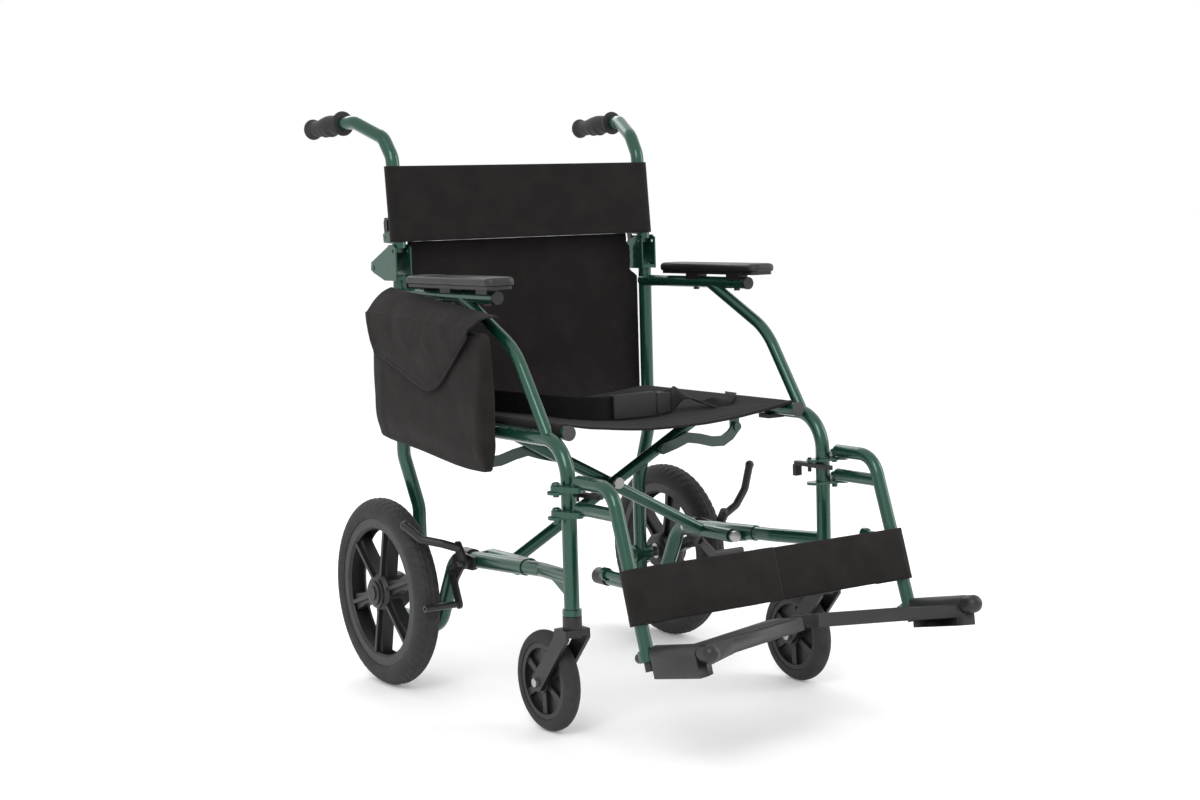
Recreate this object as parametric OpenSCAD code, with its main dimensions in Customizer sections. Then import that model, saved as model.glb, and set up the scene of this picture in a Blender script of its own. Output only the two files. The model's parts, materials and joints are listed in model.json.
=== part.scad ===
// Folding transit wheelchair. X points to the rider's left, Y to the rear, Z up.
// Every pair of sides is drawn once, on the rider's left, and mirrored.

/* [Frame] */
// Distance of the side rails from the centre plane
rail_x = 237; // [232:0.5:241]
// Radius of the main frame tube
tube_r = 11.1; // [10.6:0.1:11.4]
// Height of the side rail
rail_z = 434; // [433:0.5:435]
// Height of the seat tubes
seat_z = 441.2; // [440:0.2:442]
// Distance of the seat tubes from the centre plane
seat_x = 213.6; // [212:0.2:214]
// Height of the arm tube
arm_z = 634; // [630:1:638]
// Distance of the lower rail from the centre plane
lower_x = 219.6; // [218:0.2:221]
// Distance that the drawing is moved to the rear, so that the chair stands centred on the origin
datum_y = 158; // [150:0.5:166]

/* [Folding] */
// Rest angle of the braces above the floor
brace_deg = 28; // [27.8:0.1:28.2]
// Distance of the brace pivots from the centre plane
pivot_x = 192.5; // [192:0.1:193]
// Height of the brace pivots
pivot_z = 225; // [224:0.5:226]
// Radius of the brace tubes
brace_r = 9.5; // [9:0.1:9.8]

/* [Wheels] */
// Rear tyre radius
wheel_r = 152.5; // [151:0.5:153]
// Distance of the rear wheels from the centre plane
wheel_x = 282; // [281:0.5:283]
// Caster tyre radius
caster_r = 75; // [73:0.5:75]
// Width of a caster tyre
caster_w = 26; // [24:1:28]
// Horizontal distance from the caster stem to its axle
trail = 68.7; // [66:0.1:70]

/* [Hidden] */
$fn = 48;
front_y = -348;
axle_y = 133;
stem_x = 236.7;
hinge_x = 259;
hinge_y = -350;
hanger_x = 239.5;
cane_pin = [189, 675];
cane_bend = [267.5, 249.5, 911.4];
cane_tip = [269.6, 358, 906.3];
belt_y = -198;
belt_z = 437.5;
brace_a_y = -116;
brace_b_y = -93;
centre_z = pivot_z + pivot_x * tan(brace_deg);
running = 0.05;
seam = 100;
lap = 0.7;
thin = 0.07;
pin_r = 5;
right_lever_deg = 29.6;
left_lever_deg = 98;
right_shoe_deg = 247.4;
left_shoe_deg = 207.6;
lever_pin = [-62, 221];
shoe_pin = [-11.6, 195.2];
latch_pin = [stem_x - 20, -340];
plate_tilt = 11;
plate_rise = 4.75;

// ---- helpers ----

module placed(side = 1) {
    translate([0, datum_y, 0]) mirror([side < 0 ? 1 : 0, 0, 0]) children();
}

function unit(v) = v / norm(v);

// straight round bar from p to q
module rod(p, q, r) {
    v = q - p;
    translate(p) rotate([0, acos(v[2] / norm(v)), atan2(v[1], v[0])]) rotate([0, 0, seam])
        cylinder(h = norm(v), r = r);
}

// half the length that a bend takes from each of its two straights
function bend_cut(a, b, c, bend) = bend * tan(acos(unit(b - a) * unit(c - b)) / 2);

// bent round bar through corner points, each corner rounded to the same radius; a bend is
// drawn a hair thinner than its straights, which run a little way into it
module pipe(points, r, bend) {
    last = len(points) - 1;
    for (i = [0 : last - 1]) {
        way = unit(points[i + 1] - points[i]);
        cut_a = i == 0 ? 0 : bend_cut(points[i - 1], points[i], points[i + 1], bend);
        cut_b = i == last - 1 ? 0 : bend_cut(points[i], points[i + 1], points[i + 2], bend);
        from = points[i] + way * (i == 0 ? 0 : cut_a - lap);
        to = points[i + 1] - way * (i == last - 1 ? 0 : cut_b - lap);
        rod(from, to, r);
    }
    for (i = [1 : last - 1]) elbow(points[i - 1], points[i], points[i + 1], r - thin, bend);
}

// round bend at corner b between the straights from a and towards c
module elbow(a, b, c, r, bend) {
    ahead = unit(b - a);
    after = unit(c - b);
    turn = acos(ahead * after);
    inward = unit(after - (ahead * after) * ahead);
    axis = cross(ahead, inward);
    centre = b - ahead * bend * tan(turn / 2) + inward * bend;
    multmatrix([
        [-inward[0], ahead[0], axis[0], centre[0]],
        [-inward[1], ahead[1], axis[1], centre[1]],
        [-inward[2], ahead[2], axis[2], centre[2]],
        [0, 0, 0, 1]
    ]) rotate_extrude(angle = turn) translate([bend, 0]) circle(r = r);
}

// round bar along X, Y or Z from a point
module along_x(p, h, r) { translate(p) rotate([0, 90, 0]) cylinder(h = h, r = r); }
module along_y(p, h, r) { translate(p) rotate([-90, 0, 0]) cylinder(h = h, r = r); }
module along_z(p, h, r) { translate(p) cylinder(h = h, r = r); }

// outline in Y and Z, t thick from x
module plate_x(x, t) { translate([x, 0, 0]) rotate([90, 0, 90]) linear_extrude(t) children(); }

// outline in X and Z, t thick from y
module plate_y(y, t) { translate([0, y + t, 0]) rotate([90, 0, 0]) linear_extrude(t) children(); }

// flat bar with round ends
module bar2d(p, q, w) {
    v = unit(q - p) * w / 2;
    n = [-v[1], v[0]];
    polygon([p + n, q + n, q - n, p - n]);
    translate(p) circle(d = w);
    translate(q) circle(d = w);
}

// ---- side frame ----

module side_frame(link_y, lug_y) {
    difference() {
        union() {
            pipe([[stem_x, front_y, 186], [stem_x, front_y, rail_z], [rail_x, 131, rail_z]], tube_r, 57);
            pipe([[lower_x, 129.4, 96], [lower_x, 129.4, 285], [243.6, 130, 372], [241, 125, 664]],
                tube_r, 60);
            rod([rail_x, 128, arm_z], [rail_x, -165, arm_z], brace_r);
            pipe([[rail_x, -70, arm_z - 2], [rail_x, -214, 560], [rail_x, -298, rail_z + 4]],
                brace_r - 0.2, 120);
            pipe([[lower_x, 232, 94], [lower_x, 75, 94], [lower_x, 11, 217.5], [lower_x, -200, 230]],
                12.7, 45);
            pipe([[lower_x, -199, 230], [lower_x, -245, 232.5], [stem_x, -346, 237]], 11, 60);
            along_z([stem_x, front_y, 183], 9, 14);
            plate_x(stem_x - 2, 4) polygon([[-341, 231], [-300, 228], [-341, 206]]);
            for (z = [325, 361]) hinge_plate(z);
            for (y = [-176, -51]) pivot_bracket(y);
            link_bracket(link_y, lug_y);
            hinge_cheeks();
            along_x([lower_x - 15, axle_y, wheel_r], 34, 16);
        }
        along_z([stem_x, front_y, 170], 52, 6.06);
        for (y = [-140, -30]) along_z([rail_x, y, arm_z - 15], 30, 2.55);
        along_y([pivot_x, -190, pivot_z], 160, pin_r + 0.02);
        along_x([190, axle_y, wheel_r], 60, 6.05);
        along_y([rail_x, link_y - 10, 397.2], 30, 3.02);
        along_x([220, cane_pin[0], cane_pin[1]], 45, 4.02);
        for (z = [320, 356]) along_z([hinge_x, hinge_y, z], 12, 4.52);
        along_z([latch_pin[0], latch_pin[1], 358], 10, 3.05);
    }
    for (z = [318, 357]) hinge_pin(z);
    color("black") along_x([225.5, cane_pin[0], cane_pin[1]], 31, 4);
    color("black") along_y([rail_x, min(link_y, lug_y) - 3, 397.2], abs(link_y - lug_y) + 13, 3);
}

// plate on the front tube that a legrest hinge pin stands in
module hinge_plate(z) {
    translate([0, 0, z]) linear_extrude(4) difference() {
        bar2d([stem_x - 16, front_y], [hinge_x, hinge_y], 26);
        translate([stem_x, front_y]) circle(r = tube_r - 1);
    }
}

// hinge pin with a rounded head over its legrest lug
module hinge_pin(z) {
    top = z == 357 ? 374 : 338;
    along_z([hinge_x, hinge_y, z], top - z, 4.5);
    translate([hinge_x, hinge_y, top]) rotate_extrude()
        polygon([[0, -0.1], [6.5, -0.1], [6.5, 1.6], [5.6, 3.1], [3.6, 4.2], [0, 4.6]]);
}

// ear from the lower rail to the pivot rod
module pivot_bracket(y) {
    plate_y(y, 5) bar2d([lower_x, 223], [pivot_x, pivot_z], 17);
}

// tab under the side rail that carries the outer end of a fold link
module link_bracket(link_y, lug_y) {
    plate_y(lug_y, 4) bar2d([rail_x, 397.2], [rail_x - 0.3, rail_z - 6.5], 17.6);
}

// cheeks at the top of the rear post that hold the back hinge pin
module hinge_cheeks() {
    for (x = [226, 252.8]) plate_x(x, 2.6) difference() {
        polygon([[111, 655], [111, 708], [120, 713], [140, 708], [195, 684], [197, 672], [188, 667],
            [150, 655]]);
        translate([119, 702]) circle(r = 3);
    }
    plate_x(228, 26) polygon([[111.6, 655.6], [142, 655.6], [142, 661], [111.6, 661]]);
}

module frame_caps() {
    along_y([rail_x, -171, arm_z], 6, brace_r + 0.6);
    along_y([lower_x, 232, 94], 34, 15);
    for (y = [-262, 52]) seat_cradle(y);
}

// block on the inner face of the side rail that the seat tube comes down on
module seat_cradle(y) {
    difference() {
        translate([200.6, y, 423.4]) cube([30, 26, 6.2]);
        rod([stem_x, front_y, rail_z], [rail_x, 131, rail_z], tube_r + running);
    }
}

// ---- arms ----

module rounded_bar(x0, x1, y0, y1, r) {
    for (x = [x0 + r, x1 - r], y = [y0 + r, y1 - r]) translate([x, y]) circle(r = r);
    translate([x0 + r, y0]) square([x1 - x0 - 2 * r, y1 - y0]);
    translate([x0, y0 + r]) square([x1 - x0, y1 - y0 - 2 * r]);
}

module arm_pad_tray() {
    difference() {
        union() {
            translate([0, 0, arm_z + 13.6]) linear_extrude(5) rounded_bar(225, 267, -199, 56, 10);
            for (y = [-140, -30]) translate([rail_x - 10, y - 16, arm_z + 5]) cube([20, 32, 9]);
        }
        along_y([rail_x, -200, arm_z], 230, brace_r);
    }
    for (y = [-140, -30]) along_z([rail_x, y, arm_z - 9.5], 19.5, 2.5);
    for (y = [-140, -30]) along_z([rail_x, y, arm_z - 12.5], 3, 5);
}

module arm_pad() {
    translate([0, 0, arm_z + 18.6]) linear_extrude(13.4) rounded_bar(221, 271, -203, 60, 14);
}

module bag() {
    plate_x(256, 39) polygon([[-196, 405], [-170, 384], [60, 392], [138, 408], [141, 600], [-197, 585]]);
    plate_x(256, 5) polygon([[-190, 580], [135, 595], [100, 640], [-150, 640]]);
}

// ---- wheels ----

module turned_x(x, y, z) { translate([x, y, z]) rotate([0, 90, 0]) rotate_extrude($fn = 96) children(); }

module rear_tyre() {
    turned_x(wheel_x, axle_y, wheel_r) difference() {
        union() {
            translate([wheel_r - 21, 0]) circle(r = 21);
            translate([wheel_r - 30, -17]) square([13, 34]);
        }
        translate([0, -22]) square([124, 44]);
        for (h = [-12, -4, 4, 12]) translate([wheel_r - 0.8, h]) circle(r = 1.4);
    }
}

module rear_wheel() {
    difference() {
        union() {
            turned_x(wheel_x, axle_y, wheel_r) polygon([
                [106, -17], [124, -17], [124, 17], [106, 17], [102, 12], [112, 9], [112, -9], [102, -12]
            ]);
            turned_x(wheel_x, axle_y, wheel_r) polygon([
                [0, -30], [26, -30], [30, -24], [30, 12], [25, 18], [25, 22], [20, 23], [20, 26],
                [12, 27], [12, 29], [0, 29]
            ]);
            for (a = [0 : 60 : 300]) translate([wheel_x, axle_y, wheel_r]) rotate([a + 12, 0, 0]) spoke();
        }
        along_x([wheel_x - 31, axle_y, wheel_r], 52, 14.05);
    }
}

// flat tapering spoke with a raised rib on each face
module spoke() {
    plate_x(-9, 18) polygon([[-13, 24], [13, 24], [9, 64], [15, 110], [-15, 110], [-9, 64]]);
    plate_x(-15, 30) polygon([[-3, 24], [3, 24], [3, 108], [-3, 108]]);
}

// axle bolt, its nut, two bearings and the spacer
module axle_set() {
    along_x([198, axle_y, wheel_r], 100, 6);
    along_x([198.2, axle_y, wheel_r], 6.4, 9);
    translate([297, axle_y, wheel_r]) rotate([0, 90, 0]) cylinder(h = 5, r = 9, $fn = 6);
    for (x = [254, 284]) along_x([x, axle_y, wheel_r], 10, 14);
    along_x([239, axle_y, wheel_r], 15, 9);
}

module caster_fork() {
    axle = [front_y + trail, caster_r];
    difference() {
        union() {
            along_z([stem_x, front_y, 152], 30, 14);
            along_z([stem_x, front_y, 150], 70, 6);
            translate([stem_x - 21, front_y - 14, 154]) cube([42, 30, 10]);
            for (x = [-21, 15]) plate_x(stem_x + x, 6) {
                polygon([[front_y - 14, 164], [front_y - 14, 150], [axle[0] - 13, axle[1] - 6],
                    [axle[0] + 13, axle[1] + 4], [front_y + 20, 150], [front_y + 16, 164]]);
                translate(axle) circle(r = 14);
            }
        }
        along_x([stem_x - 30, axle[0], axle[1]], 60, 4.02);
    }
}

module caster_tyre() {
    turned_x(stem_x, front_y + trail, caster_r) difference() {
        union() {
            translate([caster_r - 13, 0]) circle(r = caster_w / 2);
            translate([caster_r - 20, -11]) square([10, 22]);
        }
        translate([0, -14]) square([57, 28]);
    }
}

module caster_wheel() {
    centre = [stem_x, front_y + trail, caster_r];
    difference() {
        union() {
            turned_x(centre[0], centre[1], centre[2]) polygon([[49, -11], [57, -11], [57, 11], [49, 11]]);
            turned_x(centre[0], centre[1], centre[2]) polygon([[0, -14], [17, -14], [17, 14], [0, 14]]);
            turned_x(centre[0], centre[1], centre[2]) polygon([[15, -2], [50, -2], [50, 2], [15, 2]]);
            for (a = [0 : 60 : 300]) translate(centre) rotate([a, 0, 0])
                plate_x(-8, 16) polygon([[-4, 14], [4, 14], [6, 51], [-6, 51]]);
        }
        along_x([centre[0] - 20, centre[1], centre[2]], 40, 4.05);
    }
}

module caster_axle() {
    along_x([stem_x - 22, front_y + trail, caster_r], 44, 4);
    along_x([stem_x - 25, front_y + trail, caster_r], 4, 7);
    translate([stem_x + 21, front_y + trail, caster_r]) rotate([0, 90, 0]) cylinder(h = 5, r = 7, $fn = 6);
}

// ---- braces and links, drawn for the brace that pivots on the rider's right ----

function brace_point(x) = [x, pivot_z + (x + pivot_x) * tan(brace_deg)];

module brace(y) {
    top = brace_point(seat_x);
    difference() {
        union() {
            along_y([-pivot_x, -169, pivot_z], 115, tube_r);
            rod([-pivot_x, y, pivot_z], [top[0], y, top[1]], brace_r);
            along_y([seat_x, -316.7, seat_z], 416, 11);
            along_y([seat_x, y - 16, seat_z], 32, 12.4);
        }
        along_y([-pivot_x, -170, pivot_z], 117, pin_r + running);
        along_y([0, y - 12, centre_z], 24, y == brace_a_y ? pin_r + 0.02 : pin_r + running);
    }
}

module tube_caps() {
    along_y([seat_x, -319.7, seat_z], 3, 11.2);
    along_y([seat_x, 99.3, seat_z], 3, 11.2);
}

module centre_bolt() {
    along_y([0, -130, centre_z], 50, pin_r);
    along_y([0, -132, centre_z], 5.9, 9);
    along_y([0, -105.8, centre_z], 2.6, 8);
    translate([0, -83, centre_z]) rotate([-90, 0, 0]) cylinder(h = 6, r = 8, $fn = 6);
}

module pivot_rod() {
    along_y([pivot_x, -180, pivot_z], 140, pin_r);
    along_y([pivot_x, -182, pivot_z], 5.8, 9);
    along_y([pivot_x, -45.8, pivot_z], 6, 8);
}

// S-shaped flat link between an outer tab and a brace
module fold_link(y) {
    inner = [87, brace_point(87)[1]];
    outer = [rail_x, 397.2];
    points = [inner, [112, 380], [136, 388], [160, 384], [186, 377], [208, 376], [224, 384], outer];
    difference() {
        plate_y(y, 4) for (i = [0 : len(points) - 2]) bar2d(points[i], points[i + 1], 17);
        along_y([outer[0], y - 1, outer[1]], 6, 3.06);
    }
    along_y([inner[0], y - 3, inner[1]], 8.8, 3);
    color("black") along_y([inner[0], y - 3, inner[1]], 3, 7);
    color("black") difference() {
        along_y([outer[0], y - 3, outer[1]], 3, 7);
        along_y([outer[0], y - 4, outer[1]], 5, 3.06);
    }
}

// ---- soft pieces ----

module sling() {
    difference() {
        translate([-199.4, -314, 431]) cube([398.8, 412, 6]);
        translate([170, brace_a_y - 11.5, 430]) cube([40, 23, 8]);
        translate([-210, brace_b_y - 11.5, 430]) cube([40, 23, 8]);
    }
}

module belt() {
    translate([-196, belt_y + 6, belt_z]) cube([144, 4, 38]);
    translate([71, belt_y, belt_z + 1]) cube([115, 4, 38]);
}

module buckle() {
    translate([-52, belt_y, belt_z]) cube([26, 16, 38]);
    difference() {
        translate([-26, belt_y, belt_z]) cube([56, 16, 38]);
        translate([-8, belt_y + 3, belt_z + 3.5]) cube([40, 10, 31]);
    }
}

module buckle_tongue() {
    translate([-7, belt_y + 4.8, belt_z + 6]) cube([37.4, 6.4, 26]);
    translate([30.4, belt_y, belt_z + 2]) cube([16, 16, 34]);
    translate([46.4, belt_y + 5, belt_z + 3]) cube([12, 6, 32]);
}

module lower_back() {
    plate_y(141.8, 5.4) polygon([
        [-238, 440], [238, 440], [238, 650], [222, 652], [222, 695], [215, 698], [215, 715],
        [-215, 715], [-215, 698], [-222, 695], [-222, 652], [-238, 650]
    ]);
}

module upper_back() {
    difference() {
        union() {
            translate([-228, 130, 716]) cube([456, 8, 121]);
            for (side = [-1, 1]) cane_line(side, 14.4, 716, 837);
        }
        for (side = [-1, 1]) cane_line(side, tube_r + 0.35, 700, 850);
        for (side = [-1, 1]) translate([side * 240 - 16, 127, 700]) cube([32, 40, 42]);
    }
}

// straight stretch of a cane between two heights
module cane_line(side, r, z0, z1) {
    x = side * 240;
    rod([x, 125 + (z0 - 706) * 0.091, z0], [x, 125 + (z1 - 706) * 0.091, z1], r);
}

// ---- back canes ----

module back_cane() {
    y_top = 125 + (852 - 706) * 0.091;
    pipe([[240, 125, 706], [240, y_top, 852], [243, 160, 884], [262, 222, 912], cane_bend, cane_tip],
        tube_r, 28);
    difference() {
        plate_x(234, 12) polygon([[125, 700], [125, 712], [150, 712], [196, 684], [198, 668], [182, 667],
            [150, 690], [150, 700]]);
        along_x([230, cane_pin[0], cane_pin[1]], 20, 4.05);
    }
}

module grip() {
    start = cane_bend;
    end = [269.6, 364.8, 905.8];
    way = unit(end - start);
    difference() {
        union() {
            rod(start, start + way * 6, 21);
            rod(start + way * 5, start + way * 40, 16.5);
            rod(start + way * 39, end - way * 4, 18);
            rod(end - way * 5, end, 16);
        }
        rod(start, start + unit(cane_tip - start) * 108.8, tube_r + 0.02);
        rod(start - way * 3, start + way * 9, tube_r + 1.4);
    }
}

module release_lever() {
    difference() {
        plate_x(234.6, 10.8) polygon([[153, 716], [163, 716], [166, 748], [162, 756], [155, 752]]);
        along_x([230, 158, 724], 20, 2.6);
    }
    difference() {
        plate_x(231, 2.8) bar2d([158, 724], [153, 696], 11);
        along_x([230, 158, 724], 20, 2.6);
    }
}

// pin that a release lever turns on, with its ears on the cane
module release_pin() {
    along_x([230, 158, 724], 19, 2.5);
    for (x = [228.6, 246.4]) plate_x(x, 2)
        polygon([[128, 714], [162, 716], [164, 730], [150, 732], [130, 740]]);
}

// ---- brakes ----

module brake_clamp() {
    difference() {
        union() {
            along_y([lower_x, -41, 219.8], 26, 17);
            plate_x(233.5, 4.5) polygon([[-74, 212], [-74, 230], [-30, 234], [-8, 225], [0, 200], [-6, 186],
                [-18, 186], [-36, 206]]);
        }
        rod([lower_x, -60, 221.71], [lower_x, 10, 217.56], 12.76);
    }
    along_x([233.5, lever_pin[0], lever_pin[1]], 26, 4);
    along_x([233.5, shoe_pin[0], shoe_pin[1]], 13, 4);
}

// lever with its grip, drawn pointing along +Y and turned to its rest angle
module brake_lever(rest_deg) {
    translate([0, lever_pin[0], lever_pin[1]]) rotate([rest_deg, 0, 0]) difference() {
        union() {
            plate_x(245.6, 5) bar2d([0, 0], [26, 12], 18);
            pipe([[247.5, 22, 11.5], [272, 38, 13], [294, 62, 6], [302.5, 104, 4]], 6.6, 14);
            translate([302.5, 103, 4]) sphere(r = 7.4);
        }
        along_x([240, 0, 0], 30, 4.05);
    }
}

// shoe arm with its rod across the tyre, drawn pointing along +Y
module brake_shoe(rest_deg) {
    translate([0, shoe_pin[0], shoe_pin[1]]) rotate([rest_deg, 0, 0]) difference() {
        union() {
            plate_x(239, 4.6) bar2d([0, 0], [47.9, 0], 16);
            along_x([239, 47.9, 0], 64, 5.5);
        }
        along_x([235, 0, 0], 20, 4.05);
        translate([298, 45.4, -2.5]) cube([10, 5, 5]);
    }
}

// ---- legrests ----

hanger_top = [hanger_x, -462, 379];
hanger_end = [hanger_x, -541, 150];
hanger_way = unit(hanger_end - hanger_top);

module legrest_hanger() {
    difference() {
        union() {
            pipe([[hanger_x, -380, 379], hanger_top, hanger_end], 10, 40);
            rod([hanger_x, -380, 342], [hanger_x, -474, 342], 9.5);
            for (z = [365.3, 329.3]) translate([0, 0, z]) linear_extrude(z > 350 ? 8 : 8.4)
                bar2d([hinge_x, hinge_y], [hanger_x + 6.5, -385], 16);
            rod([hanger_x, -442, 257], [hanger_x, -508, 257], 6);
            along_y([hanger_x, -446, 257], 8, 9);
            rod(hanger_end - hanger_way * 16, hanger_end, 13);
        }
        for (z = [320, 360]) along_z([hinge_x, hinge_y, z], 20, 4.55);
        along_x([hanger_x - 14, -482, 289], 28, 2.6);
        rod(hanger_end - hanger_way * 38, hanger_end + hanger_way * 3, 7.55);
        barrel_frame() along_y([0, 40, 0], 22, 6.05);
        hanger_knob_frame() along_y([0, 5, 8], 10, 2.55);
    }
}

// telescopic tube, the shaft that the footplate turns on and the two knobs
module footplate_tube() {
    rod(hanger_end - hanger_way * 32, hanger_end + hanger_way * 13, 7.5);
    barrel_frame() {
        along_y([0, -70, 0], 130, 6);
        along_y([0, 46.2, 0], 2.2, 11);
        along_y([0, -76, 0], 14, 13);
        translate([0, -76, 0]) sphere(r = 13);
    }
    hanger_knob_frame() {
        along_y([0, 2, 8], 14, 2.5);
        along_y([0, 13.3, 8], 9, 7);
    }
}

// local frame at the lower end of the hanger tube, Z up along the tube
module hanger_knob_frame() {
    translate(hanger_end) rotate([-atan2(hanger_way[1], hanger_way[2]) - 180, 0, 0]) children();
}

// local frame on the footplate's barrel, Y along the barrel to the rear
module barrel_frame() { translate([236, -600, 170.3]) rotate([-plate_tilt, 0, 0]) children(); }

module footplate() {
    barrel_frame() difference() {
        union() {
            along_y([0, -60, 0], 106, 13.5);
            rotate([0, plate_rise, 0]) tread();
        }
        along_y([0, -62, 0], 112, 6.05);
    }
}

// moulded plate, ribbed on top and hollow beneath
module tread() {
    outline = [[14, -62], [14, 43], [-16, 43], [-214, 72], [-222, 64], [-222, 2], [-86, -14], [0, -62]];
    difference() {
        union() {
            translate([0, 0, -30]) linear_extrude(30) polygon(outline);
            for (i = [0 : 6]) translate([-216, 6 + i * 5.6, 0]) cube([190, 2.4, 1.4]);
        }
        for (i = [0 : 5]) translate([-216 + i * 35, 4, -31]) cube([31, 40, 26]);
        translate([-6, -52, -31]) cube([16, 96, 12]);
        translate([-230, -70, -31]) cube([216, 160, 13]);
    }
}

module legrest_latch() {
    along_z([latch_pin[0], latch_pin[1], 345], 22, 3);
    translate([0, 0, 353]) linear_extrude(6) bar2d([stem_x - 20, -345], [stem_x - 24, -390], 13);
    translate([0, 0, 353]) linear_extrude(6) bar2d([stem_x - 20, -345], [stem_x - 20, -312], 13);
    translate([stem_x - 26, -314, 336]) cube([12, 8, 18]);
}

module calf_strap() {
    top = [-503, 271];
    bottom = [-532, 179];
    way = [bottom[0] - top[0], bottom[1] - top[1]] / norm([bottom[0] - top[0], bottom[1] - top[1]]);
    front = [way[1], -way[0]];
    plate_x(0.4, 251) polygon([
        top + front * 10.8, top + way * 76 + front * 10.8, top + way * 76 + front * 14.4, top + front * 14.4
    ]);
}

// ---- nodes ----

paint = "darkgreen";
black = [0.1, 0.1, 0.1];

module right_side_frame() { color(paint) placed(-1) side_frame(-80.2, -75.7); }
module left_side_frame() { color(paint) placed() side_frame(-132, -127.5); }
module right_frame_caps() { color(black) placed(-1) frame_caps(); }
module left_frame_caps() { color(black) placed() frame_caps(); }
module right_arm_pad_tray() { color(black) placed(-1) arm_pad_tray(); }
module left_arm_pad_tray() { color(black) placed() arm_pad_tray(); }
module right_arm_pad() { color(black) placed(-1) arm_pad(); }
module left_arm_pad() { color(black) placed() arm_pad(); }
module side_bag() { color(black) placed(-1) bag(); }
module right_rear_wheel() { color(black) placed(-1) rear_wheel(); }
module left_rear_wheel() { color(black) placed() rear_wheel(); }
module right_rear_tyre() { color("dimgray") placed(-1) rear_tyre(); }
module left_rear_tyre() { color("dimgray") placed() rear_tyre(); }
module right_axle_set() { color("silver") placed(-1) axle_set(); }
module left_axle_set() { color("silver") placed() axle_set(); }
module right_caster_fork() { color(black) placed(-1) caster_fork(); }
module left_caster_fork() { color(black) placed() caster_fork(); }
module right_caster_wheel() { color(black) placed(-1) caster_wheel(); }
module left_caster_wheel() { color(black) placed() caster_wheel(); }
module right_caster_tyre() { color("dimgray") placed(-1) caster_tyre(); }
module left_caster_tyre() { color("dimgray") placed() caster_tyre(); }
module right_caster_axle() { color("silver") placed(-1) caster_axle(); }
module left_caster_axle() { color("silver") placed() caster_axle(); }
module cross_brace_a() { color(paint) placed() brace(brace_a_y); }
module cross_brace_b() { color(paint) placed(-1) brace(brace_b_y); }
module seat_tube_caps_a() { color("dimgray") placed() tube_caps(); }
module seat_tube_caps_b() { color("dimgray") placed(-1) tube_caps(); }
module centre_pivot_bolt() { color("silver") placed() centre_bolt(); }
module right_pivot_rod() { color("silver") placed(-1) pivot_rod(); }
module left_pivot_rod() { color("silver") placed() pivot_rod(); }
module right_fold_link() { color(paint) placed(-1) fold_link(-80.2); }
module left_fold_link() { color(paint) placed() fold_link(-132); }
module seat_sling() { color(black) placed() sling(); }
module lap_belt() { color(black) placed() belt(); }
module belt_buckle() { color(black) placed() buckle(); }
module belt_buckle_tongue() { color(black) placed() buckle_tongue(); }
module back_lower_upholstery() { color(black) placed() lower_back(); }
module back_upper_upholstery() { color(black) placed() upper_back(); }
module right_back_cane() { color(paint) placed(-1) { back_cane(); release_pin(); } }
module left_back_cane() { color(paint) placed() { back_cane(); release_pin(); } }
module right_grip() { color(black) placed(-1) grip(); }
module left_grip() { color(black) placed() grip(); }
module right_release_lever() { color(black) placed(-1) release_lever(); }
module left_release_lever() { color(black) placed() release_lever(); }
module right_brake_clamp() { color(black) placed(-1) brake_clamp(); }
module left_brake_clamp() { color(black) placed() brake_clamp(); }
module right_brake_lever() { color(black) placed(-1) brake_lever(right_lever_deg); }
module left_brake_lever() { color(black) placed() brake_lever(left_lever_deg); }
module right_brake_shoe() { color(black) placed(-1) brake_shoe(right_shoe_deg); }
module left_brake_shoe() { color(black) placed() brake_shoe(left_shoe_deg); }
module right_legrest_hanger() { color(paint) placed(-1) legrest_hanger(); }
module left_legrest_hanger() { color(paint) placed() legrest_hanger(); }
module right_footplate_tube() { color(black) placed(-1) footplate_tube(); }
module left_footplate_tube() { color(black) placed() footplate_tube(); }
module right_footplate() { color(black) placed(-1) footplate(); }
module left_footplate() { color(black) placed() footplate(); }
module right_legrest_latch() { color(black) placed(-1) legrest_latch(); }
module left_legrest_latch() { color(black) placed() legrest_latch(); }
module right_calf_strap() { color(black) placed(-1) calf_strap(); }
module left_calf_strap() { color(black) placed() calf_strap(); }

right_side_frame();
left_side_frame();
right_frame_caps();
left_frame_caps();
right_arm_pad_tray();
left_arm_pad_tray();
right_arm_pad();
left_arm_pad();
side_bag();
right_rear_wheel();
left_rear_wheel();
right_rear_tyre();
left_rear_tyre();
right_axle_set();
left_axle_set();
right_caster_fork();
left_caster_fork();
right_caster_wheel();
left_caster_wheel();
right_caster_tyre();
left_caster_tyre();
right_caster_axle();
left_caster_axle();
cross_brace_a();
cross_brace_b();
seat_tube_caps_a();
seat_tube_caps_b();
centre_pivot_bolt();
right_pivot_rod();
left_pivot_rod();
right_fold_link();
left_fold_link();
seat_sling();
lap_belt();
belt_buckle();
belt_buckle_tongue();
back_lower_upholstery();
back_upper_upholstery();
right_back_cane();
left_back_cane();
right_grip();
left_grip();
right_release_lever();
left_release_lever();
right_brake_clamp();
left_brake_clamp();
right_brake_lever();
left_brake_lever();
right_brake_shoe();
left_brake_shoe();
right_legrest_hanger();
left_legrest_hanger();
right_footplate_tube();
left_footplate_tube();
right_footplate();
left_footplate();
right_legrest_latch();
left_legrest_latch();
right_calf_strap();
left_calf_strap();
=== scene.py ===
"""Folding transit wheelchair: the looks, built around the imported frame.

Lengths in the drawing are millimetres from its own datum (X to the rider's left, Y to the rear, Z up) and
place() turns them into the frame's metres.
"""
import json
import math

import bmesh
import bpy
from mathutils import Matrix, Vector, noise


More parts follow.
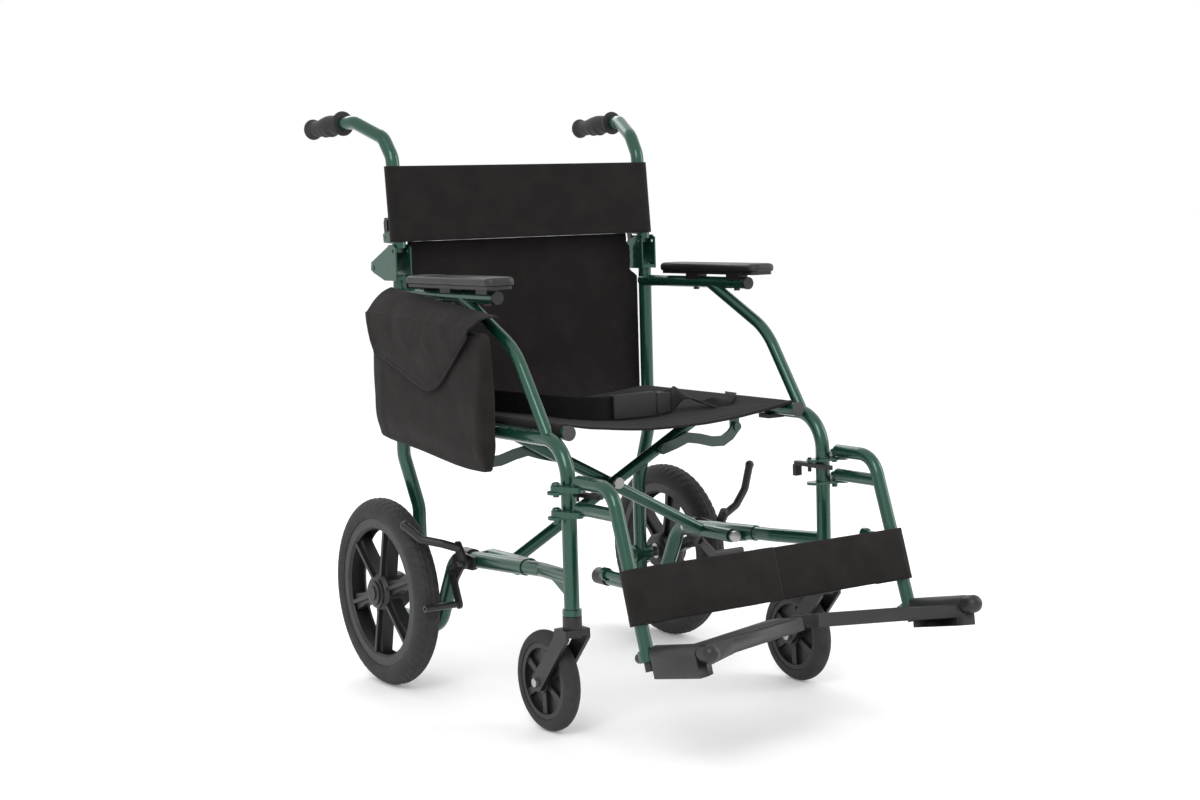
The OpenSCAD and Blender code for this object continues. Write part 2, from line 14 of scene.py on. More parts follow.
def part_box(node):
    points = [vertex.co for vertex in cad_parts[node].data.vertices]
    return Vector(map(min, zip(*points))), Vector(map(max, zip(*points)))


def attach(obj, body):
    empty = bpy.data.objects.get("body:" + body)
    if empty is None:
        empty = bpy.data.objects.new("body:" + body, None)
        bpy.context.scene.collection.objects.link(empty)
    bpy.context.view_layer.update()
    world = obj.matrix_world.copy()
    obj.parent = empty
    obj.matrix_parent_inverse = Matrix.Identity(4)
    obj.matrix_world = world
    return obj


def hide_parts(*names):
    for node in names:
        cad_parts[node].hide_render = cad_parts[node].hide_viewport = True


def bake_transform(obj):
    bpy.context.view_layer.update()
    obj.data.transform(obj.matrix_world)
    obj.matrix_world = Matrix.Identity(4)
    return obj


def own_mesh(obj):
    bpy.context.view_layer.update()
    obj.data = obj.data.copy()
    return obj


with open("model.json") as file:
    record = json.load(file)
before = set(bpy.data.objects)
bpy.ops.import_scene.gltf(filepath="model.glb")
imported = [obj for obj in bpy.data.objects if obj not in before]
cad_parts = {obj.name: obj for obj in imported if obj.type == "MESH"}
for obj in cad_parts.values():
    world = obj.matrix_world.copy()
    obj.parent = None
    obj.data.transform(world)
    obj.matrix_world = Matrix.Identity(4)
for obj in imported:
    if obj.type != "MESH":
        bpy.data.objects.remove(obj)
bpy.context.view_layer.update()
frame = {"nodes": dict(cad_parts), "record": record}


# ---- where things are ----

def centre(node):
    low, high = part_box(node)
    return (low + high) / 2


AXLE = centre("left_axle_set")
AXLE_DRAWN_Y = 133.0
DATUM_Y = AXLE.y * 1000 - AXLE_DRAWN_Y
SEAT_X, SEAT_Z, SEAT_R = 213.6, 441.2, 11.0
CANE_X, CANE_R = 240.0, 11.1
WHEEL_X, WHEEL_R = 282.0, 152.5
HANGER_X = 239.5


def place(x, y, z):
    return Vector((x, y + DATUM_Y, z)) / 1000


def smooth(t):
    t = max(0.0, min(1.0, t))
    return t * t * (3 - 2 * t)


def mix(a, b, t):
    return a + (b - a) * t


def ripple(x, y, z, scale, seed=0.0):
    """Smooth noise from -1 to 1 at a point given in millimetres; scale is the size of its lumps."""
    return noise.noise(Vector((x / scale + seed, y / scale, z / scale)))


# ---- camera, light and floor ----

def set_camera():
    yaw, pitch, roll = math.radians(33.87), math.radians(5.774), math.radians(-1.62)
    ahead = Vector((math.sin(yaw) * math.cos(pitch), math.cos(yaw) * math.cos(pitch), -math.sin(pitch)))
    right = ahead.cross(Vector((0, 0, 1))).normalized()
    up = right.cross(ahead)
    tilted_right = right * math.cos(roll) + up * math.sin(roll)
    tilted_up = up * math.cos(roll) - right * math.sin(roll)
    data = bpy.data.cameras.new("camera")
    data.sensor_width = 36.0
    data.lens = 59.16
    data.clip_end = 60
    camera = bpy.data.objects.new("camera", data)
    bpy.context.scene.collection.objects.link(camera)
    turn = Matrix((tilted_right, tilted_up, -ahead)).transposed()
    camera.matrix_world = Matrix.Translation(place(-1748.4, -2687.6, 773.9)) @ turn.to_4x4()
    bpy.context.scene.camera = camera


def area_light(name, at, aim, size, power):
    data = bpy.data.lights.new(name, "AREA")
    data.shape = "RECTANGLE"
    data.size, data.size_y = size
    data.energy = power
    lamp = bpy.data.objects.new(name, data)
    bpy.context.scene.collection.objects.link(lamp)
    lamp.location = at
    lamp.rotation_mode = "QUATERNION"
    lamp.rotation_quaternion = (Vector(aim) - Vector(at)).to_track_quat("-Z", "Y")


def set_studio():
    scene = bpy.context.scene
    scene.view_settings.view_transform = "Standard"
    world = bpy.data.worlds.new("studio")
    scene.world = world
    world.use_nodes = True
    back = world.node_tree.nodes["Background"]
    back.inputs["Color"].default_value = (1.0, 1.0, 1.0, 1)
    back.inputs["Strength"].default_value = 1.0
    area_light("key", (-2.6, -2.2, 3.0), (0, 0, 0.45), (1.6, 2.2), 62)
    area_light("fill", (3.0, -1.6, 1.9), (0, 0, 0.4), (1.4, 2.0), 30)
    area_light("rim", (0.4, 2.8, 2.4), (0, 0, 0.5), (2.4, 1.4), 26)
    bpy.ops.mesh.primitive_plane_add(size=60, location=(0, 0, 0))
    floor = bpy.context.object
    floor.name = "floor"
    material = bpy.data.materials.new("floor")
    material.use_nodes = True
    shader = material.node_tree.nodes["Principled BSDF"]
    shader.inputs["Base Color"].default_value = (0.93, 0.93, 0.93, 1)
    shader.inputs["Roughness"].default_value = 0.6
    shader.inputs["Emission Color"].default_value = (1, 1, 1, 1)
    shader.inputs["Emission Strength"].default_value = 0.1
    floor.data.materials.append(material)


# ---- materials ----

class Surface:
    """A material with its shader and a point in object space to hang textures on."""

    def __init__(self, name, colour, rough, metallic=0.0):
        self.material = bpy.data.materials.new(name)
        self.material.use_nodes = True
        self.tree = self.material.node_tree
        self.shader = self.tree.nodes["Principled BSDF"]
        self.shader.inputs["Base Color"].default_value = (*colour, 1)
        self.shader.inputs["Roughness"].default_value = rough
        self.shader.inputs["Metallic"].default_value = metallic
        self.point = self.tree.nodes.new("ShaderNodeTexCoord").outputs["Object"]
        self.normal = None

    def put(self, socket, value):
        self.shader.inputs[socket].default_value = value

    def node(self, kind, **inputs):
        made = self.tree.nodes.new(kind)
        for key, value in inputs.items():
            made.inputs[key.replace("_", " ")].default_value = value
        return made

    def join(self, source, target):
        self.tree.links.new(source, target)

    def noise(self, scale, detail=3.0, rough=0.55):
        made = self.node("ShaderNodeTexNoise", Scale=scale, Detail=detail, Roughness=rough)
        self.join(self.point, made.inputs["Vector"])
        return made.outputs["Fac"]

    def ramp(self, value, stops):
        made = self.tree.nodes.new("ShaderNodeValToRGB")
        self.join(value, made.inputs["Fac"])
        ends = made.color_ramp.elements
        while len(ends) < len(stops):
            ends.new(0.5)
        for end, (at, colour) in zip(ends, stops):
            end.position = at
            end.color = (*colour, 1) if len(colour) == 3 else colour
        return made.outputs["Color"]

    def colour_from(self, value, low, high, at=(0.35, 0.7)):
        self.join(self.ramp(value, [(at[0], low), (at[1], high)]), self.shader.inputs["Base Color"])

    def rough_from(self, value, low, high):
        made = self.node("ShaderNodeMapRange")
        made.inputs["To Min"].default_value = low
        made.inputs["To Max"].default_value = high
        self.join(value, made.inputs["Value"])
        self.join(made.outputs["Result"], self.shader.inputs["Roughness"])

    def bump(self, height, strength, distance):
        made = self.node("ShaderNodeBump", Strength=strength, Distance=distance)
        self.join(height, made.inputs["Height"])
        if self.normal is not None:
            self.join(self.normal, made.inputs["Normal"])
        self.normal = made.outputs["Normal"]
        self.join(self.normal, self.shader.inputs["Normal"])

    def weave(self, pitch):
        """Height of a plain weave: over and under along two directions of the cloth."""
        heights = []
        for turn in ((0, 0, 0.6), (0.9, 0, -0.6)):
            shift = self.node("ShaderNodeMapping")
            shift.inputs["Rotation"].default_value = turn
            self.join(self.point, shift.inputs["Vector"])
            wave = self.node("ShaderNodeTexWave", Scale=0.1 / pitch, Distortion=0.6, Detail=1.0)
            wave.bands_direction = "DIAGONAL"
            self.join(shift.outputs["Vector"], wave.inputs["Vector"])
            heights.append(wave.outputs["Fac"])
        both = self.tree.nodes.new("ShaderNodeMath")
        both.operation = "MULTIPLY"
        self.join(heights[0], both.inputs[0])
        self.join(heights[1], both.inputs[1])
        return both.outputs["Value"]


def paint(name, colour, dark, rough=0.27, metallic=0.55):
    made = Surface(name, colour, rough, metallic)
    made.put("Coat Weight", 0.5)
    made.put("Coat Roughness", 0.08)
    made.colour_from(made.noise(900, 1.0), dark, colour, (0.3, 0.75))
    made.rough_from(made.noise(26), rough - 0.05, rough + 0.09)
    made.bump(made.noise(260, 2.0), 0.05, 0.0006)
    return made.material


def plastic(name, colour, rough, grain=420.0, depth=0.18):
    made = Surface(name, colour, rough)
    light = tuple(c * 1.35 for c in colour)
    made.colour_from(made.noise(14, 4.0), colour, light, (0.4, 0.8))
    made.rough_from(made.noise(34, 4.0), rough - 0.07, rough + 0.1)
    made.bump(made.noise(grain, 2.0), depth, 0.0004)
    return made.material


def fabric(name, colour, pitch, rough=0.9, sheen=0.05):
    made = Surface(name, colour, rough)
    made.put("Sheen Weight", sheen)
    made.put("Sheen Roughness", 0.5)
    made.put("Specular IOR Level", 0.14)
    light = tuple(c * 1.7 for c in colour)
    made.colour_from(made.noise(22, 5.0), colour, light, (0.42, 0.85))
    made.bump(made.noise(60, 4.0), 0.25, 0.0012)
    made.bump(made.weave(pitch), 0.55, 0.0004)
    return made.material


def rubber(name, colour, dust):
    made = Surface(name, colour, 0.78)
    made.colour_from(made.noise(30, 6.0, 0.65), colour, dust, (0.45, 0.8))
    made.bump(made.noise(350, 3.0), 0.25, 0.0005)
    return made.material


def steel(name, colour, rough):
    made = Surface(name, colour, rough, 1.0)
    made.rough_from(made.noise(90, 4.0), rough - 0.08, rough + 0.12)
    made.bump(made.noise(700, 2.0), 0.1, 0.0002)
    return made.material


MATERIALS = {
    "frame_paint": paint("frame_paint", (0.012, 0.078, 0.049), (0.006, 0.047, 0.029)),
    "link_paint": paint("link_paint", (0.026, 0.060, 0.047), (0.018, 0.043, 0.034), 0.42, 0.3),
    "black_plastic": plastic("black_plastic", (0.006, 0.006, 0.0065), 0.42),
    "grey_plastic": plastic("grey_plastic", (0.034, 0.034, 0.036), 0.6),
    "pad_vinyl": plastic("pad_vinyl", (0.008, 0.008, 0.009), 0.4, 900.0, 0.35),
    "wheel_plastic": plastic("wheel_plastic", (0.007, 0.007, 0.0075), 0.45),
    "tyre": rubber("tyre", (0.014, 0.014, 0.0145), (0.030, 0.029, 0.028)),
    "grip_rubber": rubber("grip_rubber", (0.011, 0.011, 0.012), (0.022, 0.022, 0.022)),
    "zinc_steel": steel("zinc_steel", (0.42, 0.42, 0.41), 0.34),
    "black_steel": plastic("black_steel", (0.011, 0.011, 0.011), 0.33),
    "footplate_plastic": plastic("footplate_plastic", (0.012, 0.0125, 0.013), 0.47, 500.0, 0.3),
    "black_fabric": fabric("black_fabric", (0.0125, 0.0110, 0.0104), 0.0011),
    "seat_fabric": fabric("seat_fabric", (0.0098, 0.0084, 0.0080), 0.0009),
    "webbing": fabric("webbing", (0.0062, 0.0058, 0.0058), 0.0016, 0.8),
}


# ---- mesh making ----

def add_mesh(name, verts, faces, slot, body=None, stands_for=(), shade=True):
    mesh = bpy.data.meshes.new(name)
    mesh.from_pydata([tuple(v) for v in verts], [], faces)
    mesh.update()
    made = bpy.data.objects.new(name, mesh)
    bpy.context.scene.collection.objects.link(made)
    clean = bmesh.new()
    clean.from_mesh(mesh)
    bmesh.ops.remove_doubles(clean, verts=clean.verts, dist=1e-6)
    bmesh.ops.recalc_face_normals(clean, faces=clean.faces)
    clean.to_mesh(mesh)
    clean.free()
    for face in mesh.polygons:
        face.use_smooth = shade
    mesh.materials.append(MATERIALS[slot])
    if body:
        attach(made, body)
    if stands_for:
        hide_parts(*stands_for)
    return made


def sheet_grid(name, columns, rows, point, slot, **kinds):
    """A sheet whose vertex at column i and row j is point(u, v), with u and v from 0 to 1."""
    verts = [point(i / columns, j / rows) for j in range(rows + 1) for i in range(columns + 1)]
    wide = columns + 1
    faces = [(j * wide + i, j * wide + i + 1, (j + 1) * wide + i + 1, (j + 1) * wide + i)
             for j in range(rows) for i in range(columns)]
    return add_mesh(name, verts, faces, slot, **kinds)


def loft(name, rings, slot, caps=True, **kinds):
    """Closed rings of equal length joined in order, with a flat cap at each end."""
    size = len(rings[0])
    verts = [p for ring in rings for p in ring]
    faces = [(k * size + i, k * size + (i + 1) % size, (k + 1) * size + (i + 1) % size, (k + 1) * size + i)
             for k in range(len(rings) - 1) for i in range(size)]
    if caps:
        faces.append(tuple(range(size - 1, -1, -1)))
        faces.append(tuple(range((len(rings) - 1) * size, len(rings) * size)))
    return add_mesh(name, verts, faces, slot, **kinds)


def thicken(piece, mm, offset=-1.0):
    solid = piece.modifiers.new("thickness", "SOLIDIFY")
    solid.thickness = mm / 1000
    solid.offset = offset


def subdivide(piece, levels=1):
    fine = piece.modifiers.new("fine", "SUBSURF")
    fine.levels = levels
    fine.render_levels = levels


def bevel(piece, mm, segments=2, angle=32):
    weld = piece.modifiers.new("weld", "WELD")
    weld.merge_threshold = 1e-5
    edge = piece.modifiers.new("edge", "BEVEL")
    edge.width = mm / 1000
    edge.segments = segments
    edge.limit_method = "ANGLE"
    edge.angle_limit = math.radians(angle)
    edge.harden_normals = False
    normals = piece.modifiers.new("normals", "WEIGHTED_NORMAL")
    normals.keep_sharp = True


EDGE_MM = {"belt_buckle": 2.6, "belt_buckle_tongue": 2.6, "right_footplate": 1.2, "left_footplate": 1.2,
           "right_caster_fork": 1.6, "left_caster_fork": 1.6}


def finish_cad():
    """Gives every CAD node that stays its material, smooth shading and softened edges."""
    slots = {part["node"]: part["material_slot"] for part in frame["record"]["subparts"]}
    for name, piece in frame["nodes"].items():
        piece.data.materials.clear()
        piece.data.materials.append(MATERIALS[slots[name]])
        for face in piece.data.polygons:
            face.use_smooth = True
            face.material_index = 0
        bevel(piece, EDGE_MM.get(name, 0.7))


# ---- upholstery ----

SEAT_FRONT, SEAT_BACK = -309.0, 97.0


def seat():
    wrap = SEAT_R + 1.6
    lip, leave = math.radians(212), math.radians(79)
    edge_x = SEAT_X - wrap * math.cos(leave)
    edge_z = SEAT_Z + wrap * math.sin(leave)

    def cross(u):
        """Place across the seat: where it runs round a tube, and where it hangs between them."""
        side = -1 if u < 0.5 else 1
        t = abs(u - 0.5) * 2
        if t > 0.88:
            angle = mix(leave, lip, (t - 0.88) / 0.12)
            return side * (SEAT_X - wrap * math.cos(angle)), SEAT_Z + wrap * math.sin(angle), 0.0
        x = side * edge_x * t / 0.88
        return x, edge_z, 1 - (x / edge_x) ** 2

    def point(u, v):
        y = mix(SEAT_FRONT, SEAT_BACK, v)
        x, z, droop = cross(u)
        sag = mix(21.0, 13.0, smooth(v * 1.2))
        y += droop * 10 * (1 - smooth(v * 5))
        z -= sag * droop
        fold = ripple(x, y, 0, 90, 3.1) * 1.6 + ripple(x, y * 2.5, 0, 34, 8.4) * 0.5
        z += fold * min(1.0, droop * 3)
        hem = math.exp(-((v - 0.045) / 0.008) ** 2)
        z -= 0.9 * hem
        if v < 0.04:
            z += 0.8 * math.cos(v / 0.04 * math.pi / 2) - 1.6 * (1 - v / 0.04) ** 4
        return place(x, y, z)

    made = sheet_grid("seat_cloth", 110, 90, point, "seat_fabric", stands_for=["seat_sling"])
    thicken(made, 2.6)
    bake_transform(made)
    return made


def cane_y(z):
    return 125 + (z - 706) * 0.091


def back_upper():
    low, high, rows = 717.0, 838.0, 34
    sleeve = CANE_R + 3.3
    across = 70

    def front_point(x, z):
        depth = (1 - (abs(x) / CANE_X) ** 2)
        y = cane_y(z) - sleeve + 9 * depth
        y += 1.3 * ripple(x, 0, z, 60, 1.7) * depth + 0.7 * ripple(x * 0.5, 0, z, 22, 5.2)
        for line in (low + 14, high - 16):
            y += 0.8 * math.exp(-((z - line) / 1.6) ** 2)
        return y

    rings = []
    for j in range(rows + 1):
        z = mix(low, high, j / rows)
        ring = []
        for i in range(across + 1):
            x = mix(-CANE_X, CANE_X, i / across)
            ring.append((x, front_point(x, z)))
        for i in range(1, 10):
            angle = math.radians(mix(-90, 90, i / 10))
            ring.append((CANE_X + sleeve * math.cos(angle), cane_y(z) + sleeve * math.sin(angle)))
        for i in range(across + 1):
            x = mix(CANE_X, -CANE_X, i / across)
            near = smooth((abs(x) - CANE_X + 34) / 30)
            thin = front_point(x, z) + 4.6
            ring.append((x, mix(thin, cane_y(z) + sleeve, near)))
        for i in range(1, 10):
            angle = math.radians(mix(90, 270, i / 10))
            ring.append((-CANE_X + sleeve * math.cos(angle), cane_y(z) + sleeve * math.sin(angle)))
        rings.append([place(x, y, z) for x, y in ring])
    size = len(rings[0])
    verts = [p for ring in rings for p in ring]
    faces = [(k * size + i, k * size + (i + 1) % size, (k + 1) * size + (i + 1) % size, (k + 1) * size + i)
             for k in range(rows) for i in range(size)]
    inner = [i for i in range(across + 1) if abs(mix(-CANE_X, CANE_X, i / across)) < CANE_X - 17]
    for base in (0, rows * size):
        for i in inner[:-1]:
            back = across + 10 + (across - i)
            faces.append((base + i, base + i + 1, base + back - 1, base + back))
    made = add_mesh("back_upper_cloth", verts, faces, "seat_fabric", "right_cane", ["back_upper_upholstery"])
    thicken(made, 1.0)
    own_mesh(made)


def back_lower():
    low, high, rows, across = 442.0, 716.0, 110, 84
    channels = (714 - 3, 701, 688, 676)

    def half_width(z):
        if z < 640:
            return 236.0
        if z < 655:
            return mix(236.0, 221.0, smooth((z - 640) / 15))
        return mix(221.0, 214.0, smooth((z - 690) / 14))

    def face(x, z, wide):
        depth = 1 - (abs(x) / wide) ** 2
        y = 141.6 + 8 * depth * smooth((z - 430) / 60)
        y -= 0.6 * ripple(x, 0, z, 75, 2.2) * depth + 0.25 * ripple(x, 0, z * 2, 20, 6.2)
        if z > 664:
            puff = max(abs(math.sin(math.pi * (z - 676) / 12.6)), 0.0) ** 0.5 if z < 714 else 0.4
            y -= 1.7 * puff
        elif z > 655:
            y -= 0.8 * smooth((z - 655) / 9)
        return y

    def point(u, v):
        z = mix(low - 24 * (1 - abs(2 * u - 1) ** 6), high, v)
        wide = half_width(z)
        x = mix(-wide, wide, u)
        seam = math.exp(-((abs(x) - wide + 9) / 1.2) ** 2) + math.exp(-((z - low - 10) / 1.4) ** 2)
        return place(x, face(x, z, wide) + 0.5 * min(seam, 1), z)

    made = sheet_grid("back_lower_cloth", across, rows, point, "seat_fabric", body="right_side",
                      stands_for=["back_lower_upholstery"])
    thicken(made, 4.4, 1.0)
    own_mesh(made)
    return channels


def calf_strap(side):
    name = "left" if side > 0 else "right"
    top, bottom = Vector((0, -503, 271)), Vector((0, -532, 179))
    way = (bottom - top).normalized()
    front = Vector((0, way.z, -way.y))
    length, wrap = 76.0, 13.2

    def point(u, v):
        along = length * v
        if u < 0.72:
            x = mix(0.25, HANGER_X, u / 0.72)
            out = wrap
            middle = 1 - (x / HANGER_X) ** 2
            out -= 2.5 * middle
            out += 1.5 * math.sin(v * math.pi) ** 0.7
            pucker = math.sin(x / 7.5 + 2 * ripple(x, 0, 0, 40, side)) * 0.45
            near_hem = math.exp(-((along - 9) / 5) ** 2) + math.exp(-((along - length + 9) / 5) ** 2)
            out += pucker * near_hem + 1.2 * ripple(x, along, 0, 48, side * 2.0)
        elif u < 0.9:
            angle = mix(0, math.pi, (u - 0.72) / 0.18)
            x = HANGER_X + wrap * math.sin(angle)
            out = wrap * math.cos(angle)
        else:
            x = mix(HANGER_X, HANGER_X - 46, (u - 0.9) / 0.1)
            out = -wrap + 2.5 * (u - 0.9) / 0.1
        seam = math.exp(-((along - 9) / 1.3) ** 2) + math.exp(-((along - length + 9) / 1.3) ** 2)
        out -= seam * 0.9
        place_at = top + way * (along + 0.5 * ripple(x, 0, 0, 55, 4.0) * (1 if v in (0, 1) else 0))
        spot = place_at + front * out
        return place(side * x, spot.y, spot.z)

    made = sheet_grid(f"{name}_calf_cloth", 120, 30, point, "black_fabric", body=f"{name}_legrest",
                      stands_for=[f"{name}_calf_strap"])
    thicken(made, 3.0, -1.0 if side > 0 else 1.0)
    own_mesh(made)


# ---- bag on the right arm ----

def bag():
    inner, outer = -256.8, -294.0

    def low_z(y):
        return mix(374, 404, smooth((y + 196) / 330))

    rings = []
    levels = 26
    for k in range(levels + 1):
        t = k / levels
        ring = []
        belly = math.sin(math.pi * min(1, 0.12 + t * 0.95)) ** 0.6
        for i in range(64):
            a = 2 * math.pi * i / 64
            c, s = math.cos(a), math.sin(a)
            power = 0.32
            yy = math.copysign(abs(c) ** power, c)
            xx = math.copysign(abs(s) ** power, s)
            y = mix(-194, 139, (yy + 1) / 2)
            y += (1 - t) * -2 + 3 * ripple(0, y, t * 90, 60, 7.7)
            thick = mix(0.42, 1.0, smooth(t * 5)) * mix(1.0, 0.8, smooth((t - 0.7) / 0.3))
            middle = (inner + outer) / 2
            half = (inner - outer) / 2
            x = middle - xx * half * thick * (0.86 + 0.14 * belly)
            top = mix(586, 603, (y + 194) / 333)
            z = mix(low_z(y), top, t)
            x -= xx * 2.2 * ripple(0, y, z, 52, 2.4) + xx * 1.0 * ripple(0, y * 2, z, 21, 4.4)
            ring.append(place(min(x, -256.4), y, z))
        rings.append(ring)
    made = loft("bag_body", rings, "black_fabric", body="right_side", stands_for=["side_bag"])
    subdivide(made)

    def corner(u):
        """Lower edge of the flap along the bag, from rear to front, before its point is rounded."""
        if u < 0.62:
            return mix(122, -78, u / 0.62), mix(543, 487, smooth(u / 0.62) * 0.5 + u / 0.62 * 0.5)
        t = (u - 0.62) / 0.38
        return mix(-78, -190, t), mix(487, 586, t)

    def edge(u):
        near = [corner(min(1.0, max(0.0, u + step * 0.02))) for step in range(-5, 6)]
        return sum(y for y, z in near) / len(near), sum(z for y, z in near) / len(near)

    def flap(u, v):
        y1, z1 = edge(u)
        y0 = mix(138, -192, u)
        z0 = mix(640, 603, u)
        over = 0.28
        if v < over:
            t = v / over
            x = mix(-249.5, -297.0, t ** 0.8)
            z = mix(z0 + 3, mix(606, 592, u), t) + 5 * math.sin(t * math.pi)
            y = mix(y0, mix(y0, y1, 0.08), t)
        else:
            t = (v - over) / (1 - over)
            x = -299.0 - 2.2 * math.sin(t * math.pi) + 1.5 * t
            z = mix(mix(606, 592, u), z1, t)
            y = mix(mix(y0, y1, 0.08), y1, t)
        x -= 1.6 * ripple(0, y, z, 50, 9.3) + 0.7 * ripple(0, y, z * 1.7, 19, 3.3)
        hem = math.exp(-((v - 0.93) / 0.012) ** 2)
        x += hem * 0.7
        return place(min(x, -248.6), y, z)

    cover = sheet_grid("bag_flap", 80, 60, flap, "black_fabric", body="right_side")
    thicken(cover, 1.8, 1.0)


# ---- lap belt ----

def ribbon(name, path, width, slot, body, thick=1.6):
    """Webbing along a path of (point, up) pairs, width measured along up."""
    rings = []
    for at, up in path:
        half = Vector(up).normalized() * width / 2
        rings.append((Vector(at) - half, Vector(at) + half))
    verts, faces = [], []
    for low, high in rings:
        for t in (0, 0.05, 0.5, 0.95, 1):
            verts.append(place(*(low.lerp(high, t))))
    for k in range(len(rings) - 1):
        for i in range(4):
            a = k * 5 + i
            faces.append((a, a + 1, a + 6, a + 5))
    made = add_mesh(name, verts, faces, slot, body)
    thicken(made, thick, 0.0)
    subdivide(made)
    return made


def curve_through(points, steps):
    """Points of a smooth curve through the given ones, Catmull-Rom."""
    out = []
    last = len(points) - 1
    for i in range(last):
        p = [Vector(points[max(0, min(last, i + k))]) for k in (-1, 0, 1, 2)]
        for s in range(steps):
            t = s / steps
            out.append(0.5 * ((2 * p[1]) + (p[2] - p[0]) * t + (2 * p[0] - 5 * p[1] + 4 * p[2] - p[3]) * t * t
                              + (3 * p[1] - p[0] - 3 * p[2] + p[3]) * t ** 3))
    out.append(Vector(points[-1]))
    return out


def lap_belt():
    first = curve_through([(-199, 62, 470), (-170, 20, 464), (-128, -70, 459), (-98, -150, 456), (-74, -186, 456),
                           (-50, -190, 456)], 8)
    path = [(p, (0, 0, 1)) for p in first]
    one = ribbon("belt_right", path, 37, "webbing", "seat")
    second = curve_through([(44, -190, 456), (66, -186, 458), (86, -176, 466), (104, -176, 462), (124, -190, 449),
                            (146, -204, 447), (170, -196, 452), (190, -176, 457), (206, -158, 458)], 8)
    ups = [(0, 0.1, 1), (0.1, 0.3, 1), (0.2, 0.8, 0.6), (0.3, 1, 0.2), (0.1, 1, 0.1), (0, 0.9, 0.5), (0.2, 1, 0.1),
           (0.2, 1, 0), (0.1, 1, 0)]
    turns = curve_through(ups, 8)
    two = ribbon("belt_left", list(zip(second, turns)), 37, "webbing", "seat")
    for piece, length in ((one, 0.31), (two, 0.21)):
        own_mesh(piece)
    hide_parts("lap_belt")


# ---- wheels ----

def turned(name, profile, centre_at, slot, body, stands_for, steps=144, shape=None):
    """Profile of (x, radius) points turned about X; shape(angle, x, radius) may move a point in or out."""
    rings = []
    for k in range(steps):
        a = 2 * math.pi * k / steps
        ring = []
        for x, radius in profile:
            r = shape(a, x, radius) if shape else radius
            ring.append(place(centre_at[0] + x, centre_at[1] + r * math.cos(a), centre_at[2] + r * math.sin(a)))
        rings.append(ring)
    size = len(profile)
    verts = [p for ring in rings for p in ring]
    faces = [(k * size + i, k * size + (i + 1) % size, ((k + 1) % steps) * size + (i + 1) % size,
              ((k + 1) % steps) * size + i) for k in range(steps) for i in range(size)]
    return add_mesh(name, verts, faces, slot, body, stands_for)


def rear_tyre(side):
    name = "left" if side > 0 else "right"
    profile = []
    for i in range(49):
        a = math.radians(mix(-35, 215, i / 48))
        x, r = 21 * math.cos(a), 131.5 + 21 * math.sin(a)
        profile.append((x, min(r, WHEEL_R)))
    profile += [(-17.0, 125), (-13, 123.5), (13, 123.5), (17.0, 125)]

    def tread(angle, x, radius):
        if radius < 139:
            return radius - (0.7 if abs(radius - 133) < 0.9 else 0)
        wave = math.sin(angle * 60 + (x / 4.2))
        wave_b = math.sin(angle * 60 - (x / 4.2))
        depth = 0.0
        if abs(x) < 2.0 or 7.0 < abs(x) < 8.6:
            depth = 1.3
        elif (wave if x > 0 else wave_b) > 0.55:
            depth = 1.2
        return radius - depth * smooth((radius - 139) / 3)

    made = turned(f"{name}_rear_tyre_tread", profile, (side * WHEEL_X, AXLE_DRAWN_Y, WHEEL_R), "tyre",
                  f"{name}_wheel", [f"{name}_rear_tyre"], 480, tread)
    return made


# ---- grips and arm pads ----

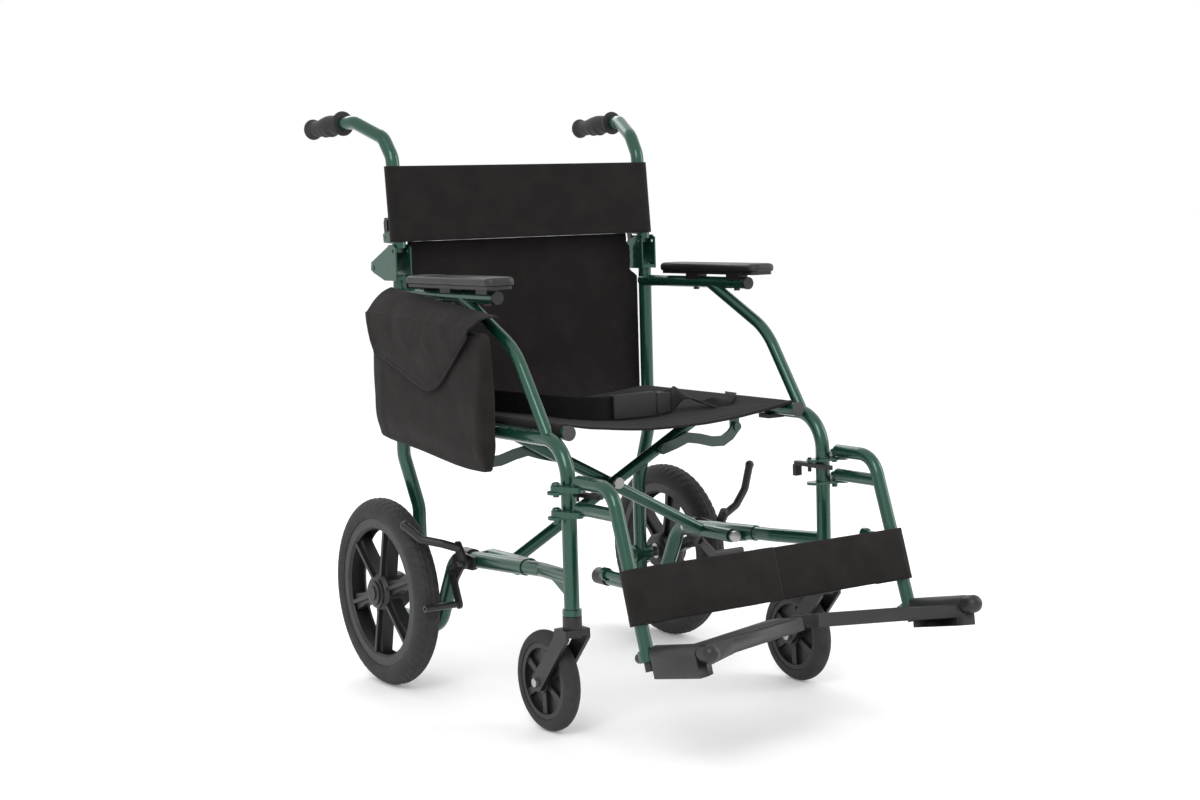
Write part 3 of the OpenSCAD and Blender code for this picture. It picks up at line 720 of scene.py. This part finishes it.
def grip(side):
    name = "left" if side > 0 else "right"
    start, end = Vector((side * 267.5, 249.5, 911.4)), Vector((side * 269.6, 364.8, 905.8))
    way = (end - start).normalized()
    across = way.cross(Vector((0, 0, 1))).normalized()
    over = across.cross(way)
    total = (end - start).length
    stations = [(0.0, 12.6), (0.0, 18.5), (1.2, 20.2), (4.2, 20.6), (6.2, 19.0), (7.4, 15.6), (14, 14.6)]
    stations += [(14 + i * 2.0, 15.2 + 2.3 * math.sin(i / 44 * math.pi * 2 - 0.9)) for i in range(1, 45)]
    stations += [(total - 9, 17.0), (total - 5, 17.6), (total - 2, 16.6), (total - 0.6, 14.0), (total, 9.0)]
    rings = []
    for along, radius in stations:
        ring = []
        for i in range(40):
            a = 2 * math.pi * i / 40
            under = max(0.0, -math.sin(a))
            finger = 0.0
            if 16 < along < total - 14:
                finger = 1.3 * under * math.sin((along - 16) / 22.0 * 2 * math.pi)
                rib = 0.5 * smooth((abs(math.cos(a)) - 0.6) / 0.2) * (1 if math.sin(along * 1.4) > 0 else 0)
                finger -= rib
            r = radius + finger
            ring.append(point_mm(start + way * along + across * math.cos(a) * r * 0.97 + over * math.sin(a) * r))
        rings.append(ring)
    made = loft(f"{name}_grip_rubber", rings, "grip_rubber", body=f"{name}_cane", stands_for=[f"{name}_grip"])
    subdivide(made)


def point_mm(v):
    return place(v.x, v.y, v.z)


def rounded_outline(x0, x1, y0, y1, r, steps=9):
    out = []
    for cx, cy, a0 in ((x1 - r, y1 - r, 0), (x0 + r, y1 - r, 90), (x0 + r, y0 + r, 180), (x1 - r, y0 + r, 270)):
        for i in range(steps + 1):
            a = math.radians(a0 + 90 * i / steps)
            out.append((cx + r * math.cos(a), cy + r * math.sin(a)))
    return out


def arm_pad(side):
    name = "left" if side > 0 else "right"
    levels = [(6, 652.7), (1.5, 652.8), (0.4, 654), (0, 656.5), (0, 660.5), (0.8, 663), (3, 665), (6.5, 665.8),
              (12, 666.0)]
    rings = []
    for inset, z in levels:
        ring = []
        for x, y in rounded_outline(221 + inset, 271 - inset, -203 + inset, 60 - inset, 15 - inset * 0.6):
            ring.append(place(side * x, y, z))
        rings.append(ring)
    made = loft(f"{name}_arm_cushion", rings, "pad_vinyl", body=f"{name}_side", stands_for=[f"{name}_arm_pad"])
    made.modifiers.new("normals", "WEIGHTED_NORMAL")


# ---- build ----

set_camera()
set_studio()
finish_cad()
seat()
back_upper()
back_lower()
bag()
lap_belt()
for side_sign in (-1, 1):
    calf_strap(side_sign)
    rear_tyre(side_sign)
    grip(side_sign)
    arm_pad(side_sign)
